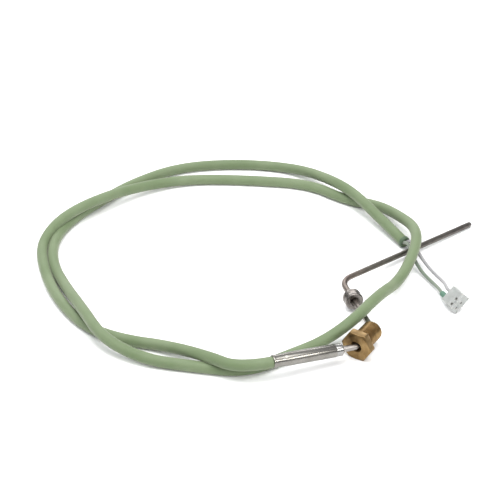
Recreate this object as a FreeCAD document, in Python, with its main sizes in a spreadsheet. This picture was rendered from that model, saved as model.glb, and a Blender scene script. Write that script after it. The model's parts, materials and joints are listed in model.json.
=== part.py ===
import FreeCAD, Part
import math
import os

import Sketcher

from FreeCAD import Vector, Placement, Rotation

# Bent thermocouple probe for a burner or boiler: a mineral-insulated sheath with a loose brass gland nut and
# a pair of ferrules, crimped to a soft cable that ends in a two-way plug. Millimetres, +Z up, Z = 0 is the
# surface that the probe lies on, and the origin is below the middle of the rigid probe.

os.makedirs("parts", exist_ok=True)
doc = FreeCAD.newDocument("flame_probe")

# ---------------------------------------------------------------- driving dimensions
DIMENSIONS = {
    "sheath_dia": 3.0, "sheath_bore": 2.4, "sheath_bend": 8.0, "rod_bend": 10.5, "tip_round": 1.2,
    "wire_dia": 0.5, "wire_offset": 0.6, "junction_dia": 1.9,
    "sleeve_dia": 6.6, "sleeve_length": 36.0, "sleeve_cable_bore": 6.0, "sleeve_cavity": 5.2,
    "cable_socket": 10.0, "crimp_length": 6.0, "crimp_dia": 6.3,
    "bush_dia": 6.2, "bush_shown": 3.8, "bush_depth": 4.0,
    "splice_dia": 1.4, "splice_length": 7.0,
    "hex_flats": 14.3, "hex_length": 4.2, "gland_length": 17.7, "thread_dia": 10.3, "thread_relief": 9.0,
    "gland_bore": 4.8, "gland_mouth": 5.8, "land_length": 2.0, "relief_bore": 7.2,
    "ferrule_dia": 9.4, "ferrule_groove": 8.2, "ferrule_nose": 6.6, "running_gap": 0.05,
    "back_ferrule_length": 3.1, "front_ferrule_length": 3.4, "shoulder": 1.1,
    "cable_dia": 5.8, "lead_dia": 1.8,
    "breakout_dia": 6.4, "breakout_length": 2.4,
    "marker_dia": 3.0, "marker_length": 4.5,
    "plug_width": 9.2, "plug_length": 10.0, "plug_thick": 4.2, "plug_pitch": 3.45, "plug_flange": 0.5,
    "way_shift": -1.0,
    "cavity_side": 2.7, "window_width": 1.3, "window_length": 1.7,
    "contact_side": 2.2, "contact_length": 6.6, "pin_hole": 1.2,
}
dims = doc.addObject("Spreadsheet::Sheet", "dims")
for row, (alias, number) in enumerate(DIMENSIONS.items(), start=1):
    dims.set(f"A{row}", alias)
    dims.set(f"B{row}", str(number))
    dims.setAlias(f"B{row}", alias)
doc.recompute()


def size(alias):
    """The number in the sheet's cell of that name."""
    return float(dims.get(alias))


# ---------------------------------------------------------------- where things lie
AXIS_HEIGHT = size("hex_flats") / 2          # the gland nut lies on one flat of its hexagon
GLAND_FACE = Vector(-15.5, -51.9, AXIS_HEIGHT)
GLAND_AXIS = Vector(math.cos(math.radians(57)), math.sin(math.radians(57)), 0)
GLAND_SIDE = Vector(-GLAND_AXIS.y, GLAND_AXIS.x, 0)
SHEATH_SAG = -0.52                            # the sheath lies off the nut's axis, to keep clear of its mouth
SLEEVE_TAIL = Vector(-55.9, -66.9, 9.8)       # where the cable enters the transition sleeve


def in_gland(along, aside):
    """A point at the height of the gland nut's axis, measured from its hexagon's outer face."""
    return GLAND_FACE + GLAND_AXIS * along + GLAND_SIDE * aside


SHEATH_CORNERS = [
    in_gland(0.93, SHEATH_SAG),               # bends into the nut
    in_gland(16.43, SHEATH_SAG),              # bends out of the nut
    Vector(-19.4, 7.6, 5.4),                  # the sharp bend at the root of the long rod
]
ROD_TIP = Vector(55.4, 69.1, 1.6)
SLEEVE_AXIS = (SHEATH_CORNERS[0] - SLEEVE_TAIL).normalize()
SLEEVE_NOSE = SLEEVE_TAIL + SLEEVE_AXIS * size("sleeve_length")
FERRULE_AXIS = (SHEATH_CORNERS[2] - SHEATH_CORNERS[1]).normalize()
FERRULE_DISTANCE = 26.9                       # from the bend in the nut to the back ferrule
FERRULE_START = SHEATH_CORNERS[1] + FERRULE_AXIS * FERRULE_DISTANCE
SHEATH_IN_SLEEVE = 9.0
SHEATH_START = SLEEVE_NOSE - SLEEVE_AXIS * SHEATH_IN_SLEEVE
FIRST_RUN = 12.0                              # the cable runs straight out of the sleeve for two diameters

CABLE_ROUTE = [
    SLEEVE_TAIL + SLEEVE_AXIS * size("cable_socket"), SLEEVE_TAIL - SLEEVE_AXIS * FIRST_RUN,
    (-90, -65, 9.4), (-108, -51, 4.6), (-128, -42, 2.9), (-148, -30, 2.9), (-165, -5, 2.9),
    (-178, 24, 2.9), (-181, 48, 4.6), (-170, 68, 9.6), (-148, 86, 9.2), (-123, 107, 4.2),
    (-98, 117, 2.9), (-65, 116, 2.9), (-33, 110, 2.9), (-12, 95, 2.9), (5, 86, 3.6),
    (16, 70, 9.0), (23.5, 52, 13.6), (21, 32, 13.6), (11, 10, 11.0), (-3, -14, 17.0),
    (-16, -33, 17.0), (-31.5, -42.5, 8.6), (-48, -54, 2.9), (-68, -65, 2.9), (-94, -63, 2.9),
    (-118, -57, 4.6), (-137, -46, 9.4), (-151, -23, 9.2), (-162, 3, 4.0), (-171, 26, 2.9),
    (-174, 48, 2.9), (-168, 68, 2.9), (-152, 91, 2.9), (-132, 114, 2.9), (-107, 130, 2.9),
    (-73, 135, 2.9), (-42, 130, 3.2), (-24, 113, 7.6), (-9, 91, 9.6), (3, 71, 8.0), (15.8, 50, 5.0),
]
CABLE_ROUTE = [Vector(*point) for point in CABLE_ROUTE]
CABLE_END = CABLE_ROUTE[-1]
CABLE_END_AXIS = (CABLE_ROUTE[-1] - CABLE_ROUTE[-2]).normalize()
LEAD_APART = 1.05                             # each lead leaves the cable this far from its middle
LEAD_SPREAD = Vector(-CABLE_END_AXIS.y, CABLE_END_AXIS.x, 0).normalize() * LEAD_APART

# The plug lies on the long edge of its housing: across runs over the two ways, along towards its mating end.
PLUG_CENTRE = Vector(37.35, -9.1, 5.6)
PLUG_ALONG = Vector(math.cos(math.radians(-66)), math.sin(math.radians(-66)), 0)
PLUG_ROLL = math.radians(45)
PLUG_LEVEL = Vector(-PLUG_ALONG.y, PLUG_ALONG.x, 0)
PLUG_ACROSS = PLUG_LEVEL * math.cos(PLUG_ROLL) + Vector(0, 0, math.sin(PLUG_ROLL))
PLUG_FACE = PLUG_LEVEL * -math.sin(PLUG_ROLL) + Vector(0, 0, math.cos(PLUG_ROLL))
PLUG_PLACE = Placement(PLUG_CENTRE, Rotation(PLUG_ACROSS, PLUG_ALONG, PLUG_FACE, "XYZ"))


def in_plug(across, along, out):
    """A point of the plug, from its middle."""
    return PLUG_PLACE.multVec(Vector(across, along, out))


CONTACT_DEPTH = 1.5                           # the contacts start this far inside the housing's back
CONTACT_BACK = CONTACT_DEPTH - size("plug_length") / 2
WHITE_ENTRY = in_plug(size("way_shift") + size("plug_pitch") / 2, CONTACT_BACK, 0)
GREEN_ENTRY = in_plug(size("way_shift") - size("plug_pitch") / 2, CONTACT_BACK, 0)
PLUG_RUN = 5.5                                # each lead enters the plug straight
WHITE_ROUTE = [
    CABLE_END + LEAD_SPREAD, Vector(19.4, 45.0, 8.8), Vector(21.6, 37.6, 8.8), Vector(24.2, 29.6, 5.6),
    Vector(27.8, 21.8, 3.4), Vector(31.6, 12.8, 3.9), Vector(33.9, 5.0, 5.4),
    WHITE_ENTRY - PLUG_ALONG * PLUG_RUN, WHITE_ENTRY,
]
GREEN_ROUTE = [
    CABLE_END - LEAD_SPREAD, Vector(17.2, 43.8, 8.8), Vector(18.6, 36.2, 8.8), Vector(20.4, 28.0, 5.4),
    Vector(23.6, 20.2, 2.6), Vector(27.4, 12.6, 2.2), Vector(30.6, 4.9, 2.8),
    GREEN_ENTRY - PLUG_ALONG * PLUG_RUN, GREEN_ENTRY,
]


def along_axis(origin, axis):
    """The placement that puts a piece's own Z along an axis."""
    level = Vector(-axis.y, axis.x, 0)
    return Placement(origin, Rotation(level, axis.cross(level), axis, "ZXY"))


# ---------------------------------------------------------------- how pieces are made
SUBPARTS = []


def keep(piece, label):
    piece.Label = label
    SUBPARTS.append(piece)
    return piece


def solid_feature(label, shape):
    piece = doc.addObject("Part::Feature", label)
    piece.Shape = shape
    return keep(piece, label)


def origin_plane(body, role):
    return next(plane for plane in body.Origin.OriginFeatures if plane.Role == role)


def new_body(label, place):
    body = doc.addObject("PartDesign::Body", label)
    body.Placement = place
    return keep(body, label)


def new_sketch(body, name, role, height=None):
    sketch = body.newObject("Sketcher::SketchObject", name)
    sketch.AttachmentSupport = [(origin_plane(body, role), "")]
    sketch.MapMode = "FlatFace"
    if height:
        sketch.setExpression("AttachmentOffset.Base.z", height)
    doc.recompute()
    return sketch


def pin_point(sketch, line, end, axis_name, formula):
    """Ties one coordinate of a line's end to a formula of the sheet's cells."""
    number = float(sketch.evalExpression(formula))
    if abs(number) < 1e-9:
        on_axis = -2 if axis_name == "DistanceX" else -1
        sketch.addConstraint(Sketcher.Constraint("PointOnObject", line, end, on_axis))
        return
    index = sketch.addConstraint(Sketcher.Constraint(axis_name, -1, 1, line, end, number))
    sketch.setExpression(f"Constraints[{index}]", formula)


def outline(sketch, corners):
    """A closed outline whose corners are pairs of formulas."""
    spots = [Vector(*(float(sketch.evalExpression(formula)) for formula in corner), 0) for corner in corners]
    lines = [sketch.addGeometry(Part.LineSegment(spot, following))
             for spot, following in zip(spots, spots[1:] + spots[:1])]
    for i, line in enumerate(lines):
        sketch.addConstraint(Sketcher.Constraint("Coincident", line, 2, lines[(i + 1) % len(lines)], 1))
    for line, (x, y) in zip(lines, corners):
        pin_point(sketch, line, 1, "DistanceX", x)
        pin_point(sketch, line, 1, "DistanceY", y)


def turned(label, place, corners):
    """A body turned about its own Z from an outline of (radius, height) formulas."""
    body = new_body(label, place)
    sketch = new_sketch(body, label + "_profile", "XZ_Plane")
    outline(sketch, corners)
    turn = body.newObject("PartDesign::Revolution", label + "_turn")
    turn.Profile = sketch
    turn.ReferenceAxis = (sketch, ["V_Axis"])
    turn.Angle = 360
    body.Tip = turn
    doc.recompute()
    return body


def block(body, name, width, depth, low, high, centre_x="0", centre_y="0", cut=False):
    """A rectangular pad or pocket of a body, between two heights along its own Z."""
    sketch = new_sketch(body, name + "_outline", "XY_Plane", low)
    left, right = f"{centre_x} - ({width}) / 2", f"{centre_x} + ({width}) / 2"
    near, far = f"{centre_y} - ({depth}) / 2", f"{centre_y} + ({depth}) / 2"
    outline(sketch, [(left, near), (right, near), (right, far), (left, far)])
    before = body.Shape.Volume if cut else 0
    step = body.newObject("PartDesign::Pocket" if cut else "PartDesign::Pad", name)
    step.Profile = sketch
    step.setExpression("Length", f"({high}) - ({low})")
    step.Reversed = cut
    body.Tip = step
    doc.recompute()
    if cut and not body.Shape.Volume < before - 1e-6:
        raise RuntimeError(name + " cut nothing")
    return step


def rounded_path(points, bends=None):
    """Straight runs joined by tangent arcs: of the given radii, or as large as the two runs allow."""
    edges, start, radii = [], points[0], []
    for i, (before, corner, after) in enumerate(zip(points, points[1:], points[2:])):
        back, ahead = (before - corner), (after - corner)
        half_turn = (math.pi - back.getAngle(ahead)) / 2
        bend = bends[i] if bends else 0.45 * min(back.Length, ahead.Length) / math.tan(half_turn)
        tangent = bend * math.tan(half_turn)
        radii.append(bend)
        back.normalize()
        ahead.normalize()
        inward = (back + ahead).normalize()
        middle = corner + inward * (bend / math.cos(half_turn) - bend)
        edges.append(Part.LineSegment(start, corner + back * tangent).toShape())
        edges.append(Part.Arc(corner + back * tangent, middle, corner + ahead * tangent).toShape())
        start = corner + ahead * tangent
    edges.append(Part.LineSegment(start, points[-1]).toShape())
    return Part.Wire(edges), radii


def tube(points, diameter, bends=None, aside=None):
    """A round bar along a path; aside moves its middle off the path."""
    path, radii = rounded_path(points, bends)
    heading = points[1] - points[0]
    centre = points[0] + (aside or Vector())
    ring = Part.Wire(Part.Circle(centre, heading, diameter / 2).toShape())
    bar = path.makePipeShell([ring], True, False)
    expected = math.pi * diameter ** 2 / 4 * path.Length
    if not aside and abs(bar.Volume / expected - 1) > 0.01:
        raise RuntimeError("a tube's volume is not its section times its length")
    return bar, path.Length, radii


# ---------------------------------------------------------------- the sheath and what it holds
TIP_WALL = 1.0
JUNCTION_CLEARANCE = 0.2


def make_sheath():
    points = [SHEATH_START] + SHEATH_CORNERS + [ROD_TIP]
    bends = [size("sheath_bend"), size("sheath_bend"), size("rod_bend")]
    heading = (ROD_TIP - SHEATH_CORNERS[-1]).normalize()
    bar = tube(points, size("sheath_dia"), bends)[0]
    rim = [edge for edge in bar.Edges if edge.Closed and (edge.CenterOfMass - ROD_TIP).Length < TIP_WALL / 2]
    bar = bar.makeFillet(size("tip_round"), rim[:1])
    core_end = ROD_TIP - heading * TIP_WALL
    core = tube(points[:-1] + [core_end], size("sheath_bore"), bends)[0]
    solid_feature("probe_sheath", bar.cut(core))

    junction_at = core_end - heading * (size("junction_dia") / 2 + JUNCTION_CLEARANCE)
    junction = Part.makeSphere(size("junction_dia") / 2, junction_at)
    side = Vector(-SLEEVE_AXIS.y, SLEEVE_AXIS.x, 0).normalize() * size("wire_offset")
    wire_points = points[:-1] + [junction_at]
    wires = [tube(wire_points, size("wire_dia"), bends, aside)[0] for aside in (side, side * -1)]
    powder = core.cut(junction)
    for wire in wires:
        powder = powder.cut(wire)
    solid_feature("mineral_insulation", powder)
    solid_feature("thermo_wire_positive", wires[0].cut(junction))
    solid_feature("thermo_wire_negative", wires[1].cut(junction))
    solid_feature("hot_junction", junction)


make_sheath()


# ---------------------------------------------------------------- the transition sleeve and what it holds
CORE_APART = 1.1                              # the two splices lie this far from the sleeve's axis
CONDUCTOR_RADIUS = 0.4


def make_sleeve():
    place = along_axis(SLEEVE_TAIL, SLEEVE_AXIS)
    end = "dims.sleeve_length - dims.bush_depth"
    turned("transition_sleeve", place, [
        ("dims.sleeve_cable_bore / 2", "0"),
        ("dims.crimp_dia / 2 + 0.1", "0"), ("dims.crimp_dia / 2 + 0.1", "0.8"),
        ("dims.crimp_dia / 2", "1.2"), ("dims.crimp_dia / 2", "dims.crimp_length"),
        ("dims.sleeve_dia / 2", "dims.crimp_length + 0.8"),
        ("dims.sleeve_dia / 2", "dims.sleeve_length - dims.bush_shown"),
        ("dims.sleeve_cavity / 2", "dims.sleeve_length - dims.bush_shown"),
        ("dims.sleeve_cavity / 2", "dims.cable_socket"), ("dims.sleeve_cable_bore / 2", "dims.cable_socket")])
    turned("sleeve_end_bush", place, [
        ("dims.sheath_dia / 2", f"{end} - dims.bush_shown"),
        ("dims.sleeve_cavity / 2", f"{end} - dims.bush_shown"),
        ("dims.sleeve_cavity / 2", "dims.sleeve_length - dims.bush_shown"),
        ("dims.bush_dia / 2", "dims.sleeve_length - dims.bush_shown"),
        ("dims.bush_dia / 2", "dims.sleeve_length - 0.5"), ("dims.bush_dia / 2 - 0.5", "dims.sleeve_length"),
        ("dims.sheath_dia / 2", "dims.sleeve_length")])

    side = Vector(-SLEEVE_AXIS.y, SLEEVE_AXIS.x, 0).normalize()
    socket, splice = size("cable_socket"), size("splice_length")
    sheath_from = (SHEATH_START - SLEEVE_TAIL).Length
    splice_from = (socket + sheath_from - splice) / 2
    spots = [SLEEVE_TAIL + side * offset for offset in (CORE_APART, -CORE_APART)]

    def bar(radius, length, spot, distance):
        return Part.makeCylinder(radius, length, spot + SLEEVE_AXIS * distance, SLEEVE_AXIS)

    splices = [bar(size("splice_dia") / 2, splice, spot, splice_from) for spot in spots]
    solid_feature("splice_sleeves", Part.makeCompound(splices))
    stubs = [bar(CONDUCTOR_RADIUS, splice_from - socket, spot, socket) for spot in spots]
    solid_feature("conductor_ends", Part.makeCompound(stubs))
    tails = []
    for spot, sign in zip(spots, (1, -1)):
        from_splice = spot + SLEEVE_AXIS * (splice_from + splice)
        to_sheath = SHEATH_START + side * (sign * size("wire_offset"))
        gap = to_sheath - from_splice
        tails.append(Part.makeCylinder(size("wire_dia") / 2, gap.Length, from_splice, gap))
    filling = bar(size("sleeve_cavity") / 2, sheath_from - socket, SLEEVE_TAIL, socket)
    for piece in splices + stubs + tails:
        filling = filling.cut(piece)
    solid_feature("potting_compound", filling)
    solid_feature("splice_tails", Part.makeCompound([tail.cut(splices[i]) for i, tail in enumerate(tails)]))


make_sleeve()


# ---------------------------------------------------------------- the brass gland nut
def make_gland_nut():
    head = doc.addObject("Part::Prism", "hexagon")
    head.Polygon = 6
    head.setExpression("Circumradius", "dims.hex_flats / 2 / cos(30 deg)")
    head.setExpression("Height", "dims.hex_length")
    crown = doc.addObject("Part::Cone", "crown")       # takes the six corners off the outer face
    crown.setExpression("Radius1", "dims.hex_flats / 2 - 0.1")
    crown.setExpression("Radius2", "dims.hex_flats / 2 - 0.1 + 2 * dims.hex_length")
    crown.setExpression("Height", "dims.hex_length")
    crowned = doc.addObject("Part::Common", "crowned_hexagon")
    crowned.Base, crowned.Tool = head, crown
    doc.recompute()
    barrel_profile = turned("gland_barrel", Placement(), [
        ("0", "dims.hex_length / 2"), ("dims.thread_relief / 2", "dims.hex_length / 2"),
        ("dims.thread_relief / 2", "dims.hex_length + 1.2"), ("dims.thread_dia / 2", "dims.hex_length + 1.8"),
        ("dims.thread_dia / 2", "dims.gland_length - 1.0"),
        ("dims.thread_dia / 2 - 1.0", "dims.gland_length"),
        ("0", "dims.gland_length")])
    SUBPARTS.remove(barrel_profile)
    hole = turned("gland_hole", Placement(), [
        ("0", "-1"), ("dims.gland_mouth / 2 + 1", "-1"),
        ("dims.gland_bore / 2", "(dims.gland_mouth - dims.gland_bore) / 2"),
        ("dims.gland_bore / 2", "dims.land_length"),
        ("dims.relief_bore / 2", "dims.land_length + (dims.relief_bore - dims.gland_bore) / 2"),
        ("dims.relief_bore / 2", "dims.gland_length + 1"), ("0", "dims.gland_length + 1")])
    SUBPARTS.remove(hole)
    whole = doc.addObject("Part::Fuse", "gland_blank")
    whole.Base, whole.Tool = crowned, barrel_profile
    nut = doc.addObject("Part::Cut", "gland_nut")
    nut.Base, nut.Tool = whole, hole
    nut.Placement = along_axis(GLAND_FACE, GLAND_AXIS)
    doc.recompute()
    keep(nut, "gland_nut")


make_gland_nut()


# ---------------------------------------------------------------- the two ferrules on the sheath
def make_ferrules():
    place = along_axis(FERRULE_START, FERRULE_AXIS)
    bore = "dims.sheath_dia / 2 + dims.running_gap"
    split = "dims.back_ferrule_length"
    turned("back_ferrule", place, [
        (bore, "0.6"), ("dims.ferrule_dia / 2 - 1.4", "0"), ("dims.ferrule_dia / 2 - 0.4", "0"),
        ("dims.ferrule_dia / 2", "0.4"), ("dims.ferrule_dia / 2", f"{split} - 0.4"),
        ("dims.ferrule_groove / 2", f"{split} - 0.1"), ("dims.ferrule_groove / 2", split), (bore, split)])
    top = f"{split} + dims.front_ferrule_length"
    turned("front_ferrule", place, [
        (bore, split), ("dims.ferrule_groove / 2", split), ("dims.ferrule_groove / 2", f"{split} + 0.3"),
        ("dims.ferrule_dia / 2", f"{split} + 0.6"), ("dims.ferrule_dia / 2", f"{top} - dims.shoulder"),
        ("dims.ferrule_nose / 2", top), (bore, top)])


make_ferrules()


# ---------------------------------------------------------------- the cable, its leads and the plug
MARKER_GAP = 1.7                              # from the marker's near end to the lead's end in the plug


def make_cords():
    for label, route, thickness in (("cable_jacket", CABLE_ROUTE, "cable_dia"),
                                    ("lead_negative", WHITE_ROUTE, "lead_dia"),
                                    ("lead_positive", GREEN_ROUTE, "lead_dia")):
        bar, length, radii = tube(route, size(thickness))
        solid_feature(label, bar)
        print(f"{label}: {length:.0f} mm long, radii", " ".join(f"{radius:.0f}" for radius in radii))
    marker_from = GREEN_ENTRY - PLUG_ALONG * (size("marker_length") + MARKER_GAP)
    turned("lead_marker", along_axis(marker_from, PLUG_ALONG), [
        ("dims.lead_dia / 2", "0"), ("dims.marker_dia / 2 - 0.3", "0"), ("dims.marker_dia / 2", "0.5"),
        ("dims.marker_dia / 2", "dims.marker_length - 0.5"),
        ("dims.marker_dia / 2 - 0.3", "dims.marker_length"),
        ("dims.lead_dia / 2", "dims.marker_length")])
    sleeve_from = CABLE_END - CABLE_END_AXIS * size("breakout_length")
    turned("breakout_sleeve", along_axis(sleeve_from, CABLE_END_AXIS), [
        ("dims.cable_dia / 2", "0"), ("dims.breakout_dia / 2 - 0.1", "0"), ("dims.breakout_dia / 2", "0.6"),
        ("dims.breakout_dia / 2", "dims.breakout_length"), ("dims.cable_dia / 2", "dims.breakout_length")])


def make_plug():
    body = new_body("plug_housing", PLUG_PLACE)
    half = "dims.plug_thick / 2"
    back, front = "-dims.plug_length / 2", "dims.plug_length / 2"
    block(body, "shell", "dims.plug_width", "dims.plug_length", f"-{half}", half)
    block(body, "flange", "dims.plug_width + 2 * dims.plug_flange", "1.2", f"-{half} - dims.plug_flange",
          f"{half} + dims.plug_flange", centre_y=f"{front} - 0.6")
    block(body, "lock_ramp", "dims.plug_pitch", "3.0", f"-{half} - 0.9", f"-{half} + 0.1",
          centre_y=f"{back} + 2.4")
    for side in ("-1", "1"):
        way = f"dims.way_shift + {side} * dims.plug_pitch / 2"
        tag = "left" if side == "-1" else "right"
        block(body, f"{tag}_cavity", "dims.cavity_side", "dims.plug_length + 2", "-dims.cavity_side / 2",
              "dims.cavity_side / 2", centre_x=way, cut=True)
        block(body, f"{tag}_window", "dims.window_width", "dims.window_length", "0", f"{half} + 0.2",
              centre_x=way, centre_y=f"{front} - 2.4", cut=True)
    block(body, "way_groove", "0.6", "1.4", f"-{half} - dims.plug_flange - 0.1",
          f"{half} + dims.plug_flange + 0.1", centre_x="dims.way_shift", centre_y=f"{front} - 0.6", cut=True)
    for label, side in (("contact_positive", "-1"), ("contact_negative", "1")):
        contact = new_body(label, PLUG_PLACE)
        way = f"dims.way_shift + {side} * dims.plug_pitch / 2"
        low, high = "-dims.contact_side / 2", "dims.contact_side / 2"
        middle = f"{back} + {CONTACT_DEPTH} + dims.contact_length / 2"
        block(contact, label + "_box", "dims.contact_side", "dims.contact_length", low, high, way, middle)
        block(contact, label + "_hole", "dims.pin_hole", "dims.contact_length - 2.0", "-dims.pin_hole / 2",
              "dims.pin_hole / 2", way, f"{middle} + 1.5", cut=True)


make_cords()
make_plug()
doc.recompute()

# ---------------------------------------------------------------- check and write
for item in doc.Objects:
    if {"Invalid", "Error"} & set(item.State):
        raise RuntimeError(f"{item.Label} failed to build: {item.State}")
for piece in SUBPARTS:
    if piece.Shape.isNull() or not piece.Shape.isValid():
        raise RuntimeError(f"{piece.Label} has a bad shape")
    piece.Shape.exportStep(f"parts/{piece.Label}.step")
    print(f"{piece.Label:24s} {len(piece.Shape.Solids)} solid {piece.Shape.Volume:10.2f} mm3")
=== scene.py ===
"""The looks of a bent flame sensing probe: sheath, gland nut, ferrules, transition sleeve, cable and plug.

Metres, +Z up, Z = 0 is the surface that the probe lies on.
"""

import json
import math

import bmesh
import bpy
from mathutils import Matrix, Vector


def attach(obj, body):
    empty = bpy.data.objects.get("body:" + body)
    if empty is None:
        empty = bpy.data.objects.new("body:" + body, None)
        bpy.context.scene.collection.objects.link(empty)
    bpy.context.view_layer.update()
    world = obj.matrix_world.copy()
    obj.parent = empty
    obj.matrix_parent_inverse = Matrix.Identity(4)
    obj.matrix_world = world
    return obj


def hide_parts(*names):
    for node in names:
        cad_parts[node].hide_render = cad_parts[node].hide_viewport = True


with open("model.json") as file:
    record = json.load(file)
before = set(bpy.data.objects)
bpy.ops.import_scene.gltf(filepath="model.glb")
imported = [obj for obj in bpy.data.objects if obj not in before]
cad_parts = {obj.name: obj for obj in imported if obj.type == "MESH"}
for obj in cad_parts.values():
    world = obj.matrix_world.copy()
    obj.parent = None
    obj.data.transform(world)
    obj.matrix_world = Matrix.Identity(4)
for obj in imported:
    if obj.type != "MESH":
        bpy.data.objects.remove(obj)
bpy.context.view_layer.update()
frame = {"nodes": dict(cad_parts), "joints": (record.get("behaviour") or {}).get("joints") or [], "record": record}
MM = 0.001

# ---------------------------------------------------------------- where things lie
JOINTS = {joint["name"]: joint for joint in frame["joints"]}
MOUNTS = {mount["name"]: mount for mount in frame["record"]["mounts"]}
NUT_FACE = Vector(JOINTS["nut_spin"]["pos_m"])
NUT_AXIS = Vector(JOINTS["nut_spin"]["axis"]).normalized()
NUT_SIDE = Vector((-NUT_AXIS.y, NUT_AXIS.x, 0))
FERRULE_AXIS = Vector(JOINTS["ferrule_slide"]["axis"]).normalized()
ROD_AXIS = Vector(MOUNTS["probe_tip"]["axis"]).normalized()
ROD_WALL = MOUNTS["probe_tip"]["dims"]["length_mm"] * MM
TIP_ROUND = 1.2 * MM
ROD_TIP = Vector(MOUNTS["probe_tip"]["pos_m"]) + ROD_AXIS * (ROD_WALL / 2 + TIP_ROUND)

SHEATH_DIA = 3.0 * MM
SHEATH_ASIDE = -0.52 * MM                        # the sheath lies off the nut's own axis
FIRST_CORNER = 0.93 * MM                         # the first two corners are inside the nut, at these
SECOND_CORNER = 16.43 * MM                       # distances from its face
SHEATH_CORNERS = [
    NUT_FACE + NUT_AXIS * FIRST_CORNER + NUT_SIDE * SHEATH_ASIDE,
    NUT_FACE + NUT_AXIS * SECOND_CORNER + NUT_SIDE * SHEATH_ASIDE,
    Vector((-0.0194, 0.0076, 0.0054)),
]
SHEATH_BENDS = (8.0 * MM, 8.0 * MM, 10.5 * MM)   # the radius at each of those corners
PATH_STEP = 1.5 * MM                             # the distance between rings along the sheath

SLEEVE_TAIL = Vector((-0.0559, -0.0669, 0.0098))
SLEEVE_AXIS = (SHEATH_CORNERS[0] - SLEEVE_TAIL).normalized()
SLEEVE_LENGTH = 36.0 * MM                        # the tube with its end bush
BUSH_HEAD = 3.8 * MM                             # the part of the bush that stands out of the tube
SHEATH_IN_SLEEVE = 27.0 * MM                     # where the sheath starts, from the sleeve's tail
FERRULE_RUN = 26.9 * MM                          # from the second corner to the ferrules
FERRULE_START = SHEATH_CORNERS[1] + FERRULE_AXIS * FERRULE_RUN
CABLE_DIA = 5.8 * MM
LEAD_DIA = 1.8 * MM
CORD_STEPS = 22                                  # how finely a cord's spline is divided

# The cable leaves the sleeve, goes twice round the loop and ends under itself beside the rod.
CABLE_ROUTE = [
    (-0.0466, -0.0634, 0.0092), (-0.0700, -0.0731, 0.0098),
    (-0.088, -0.0588, 0.0074), (-0.107, -0.0458, 0.0034), (-0.128, -0.0405, 0.0029), (-0.148, -0.030, 0.0029),
    (-0.165, -0.005, 0.0029), (-0.1755, 0.024, 0.0029), (-0.179, 0.0475, 0.0038), (-0.169, 0.067, 0.0080),
    (-0.148, 0.086, 0.0092), (-0.123, 0.108, 0.0042), (-0.098, 0.116, 0.0029), (-0.065, 0.1145, 0.0029),
    (-0.032, 0.110, 0.0029), (-0.0125, 0.0925, 0.0029), (0.005, 0.086, 0.0036), (0.015, 0.069, 0.0074),
    (0.0233, 0.051, 0.0102), (0.0213, 0.032, 0.0100), (0.0113, 0.010, 0.0036), (-0.002, -0.015, 0.0122),
    (-0.016, -0.0343, 0.0100), (-0.031, -0.043, 0.0036), (-0.048, -0.053, 0.0029), (-0.068, -0.0660, 0.0029),
    (-0.094, -0.0615, 0.0029), (-0.118, -0.0568, 0.0036), (-0.138, -0.0465, 0.0086), (-0.15, -0.0225, 0.0092),
    (-0.161, 0.003, 0.0042), (-0.1705, 0.026, 0.0029), (-0.173, 0.048, 0.0029), (-0.1675, 0.0675, 0.0029),
    (-0.152, 0.090, 0.0029), (-0.132, 0.1128, 0.0029), (-0.107, 0.130, 0.0029), (-0.073, 0.134, 0.0029),
    (-0.042, 0.129, 0.0030), (-0.024, 0.1115, 0.0072), (-0.009, 0.091, 0.0096), (0.003, 0.0705, 0.0068),
    (0.0172, 0.0472, 0.0032),
]
WHITE_ROUTE = [
    (0.0179, 0.0476, 0.0036), (0.0196, 0.0446, 0.0064), (0.0216, 0.0376, 0.0066), (0.0242, 0.0296, 0.0050),
    (0.0278, 0.0218, 0.0034), (0.0316, 0.0128, 0.0038), (0.0339, 0.0050, 0.0054),
]
GREEN_ROUTE = [
    (0.0162, 0.0466, 0.0036), (0.0176, 0.0434, 0.0064), (0.0188, 0.0362, 0.0064), (0.0204, 0.0280, 0.0046),
    (0.0236, 0.0202, 0.0024), (0.0274, 0.0126, 0.0020), (0.0306, 0.0049, 0.0028),
]

PLUG_CENTRE = Vector((0.03735, -0.0091, 0.0056))
PLUG_ALONG = Vector(MOUNTS["plug_mating_face"]["axis"]).normalized()
PLUG_ROLL = math.radians(45)
PLUG_LEVEL = Vector((-PLUG_ALONG.y, PLUG_ALONG.x, 0))
PLUG_ACROSS = PLUG_LEVEL * math.cos(PLUG_ROLL) + Vector((0, 0, math.sin(PLUG_ROLL)))
PLUG_FACE = PLUG_LEVEL * -math.sin(PLUG_ROLL) + Vector((0, 0, math.cos(PLUG_ROLL)))
PLUG_WIDTH, PLUG_LENGTH, PLUG_THICK = 9.2 * MM, 10.0 * MM, 4.2 * MM
PLUG_WAYS = {1: 0.725 * MM, -1: -2.725 * MM}     # where the white and the green lead enter, across the plug
LEAD_INSIDE = 1.5 * MM                           # how far a lead goes into the plug
LEAD_STRAIGHT = 5.5 * MM                         # a lead's last run, in line with the plug


def facing(origin, across, along, out):
    """A matrix whose X, Y and Z lie along three directions."""
    matrix = Matrix((across, along, out)).transposed().to_4x4()
    matrix.translation = origin
    return matrix


def standing(origin, axis):
    """A matrix that puts a piece's own Z along an axis, with its X level."""
    level = Vector((-axis.y, axis.x, 0)).normalized()
    return facing(origin, level, axis.cross(level), axis)


PLUG_PLACE = facing(PLUG_CENTRE, PLUG_ACROSS, PLUG_ALONG, PLUG_FACE)
NUT_PLACE = standing(NUT_FACE, NUT_AXIS)
SLEEVE_PLACE = standing(SLEEVE_TAIL, SLEEVE_AXIS)
FERRULE_PLACE = standing(FERRULE_START, FERRULE_AXIS)

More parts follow.
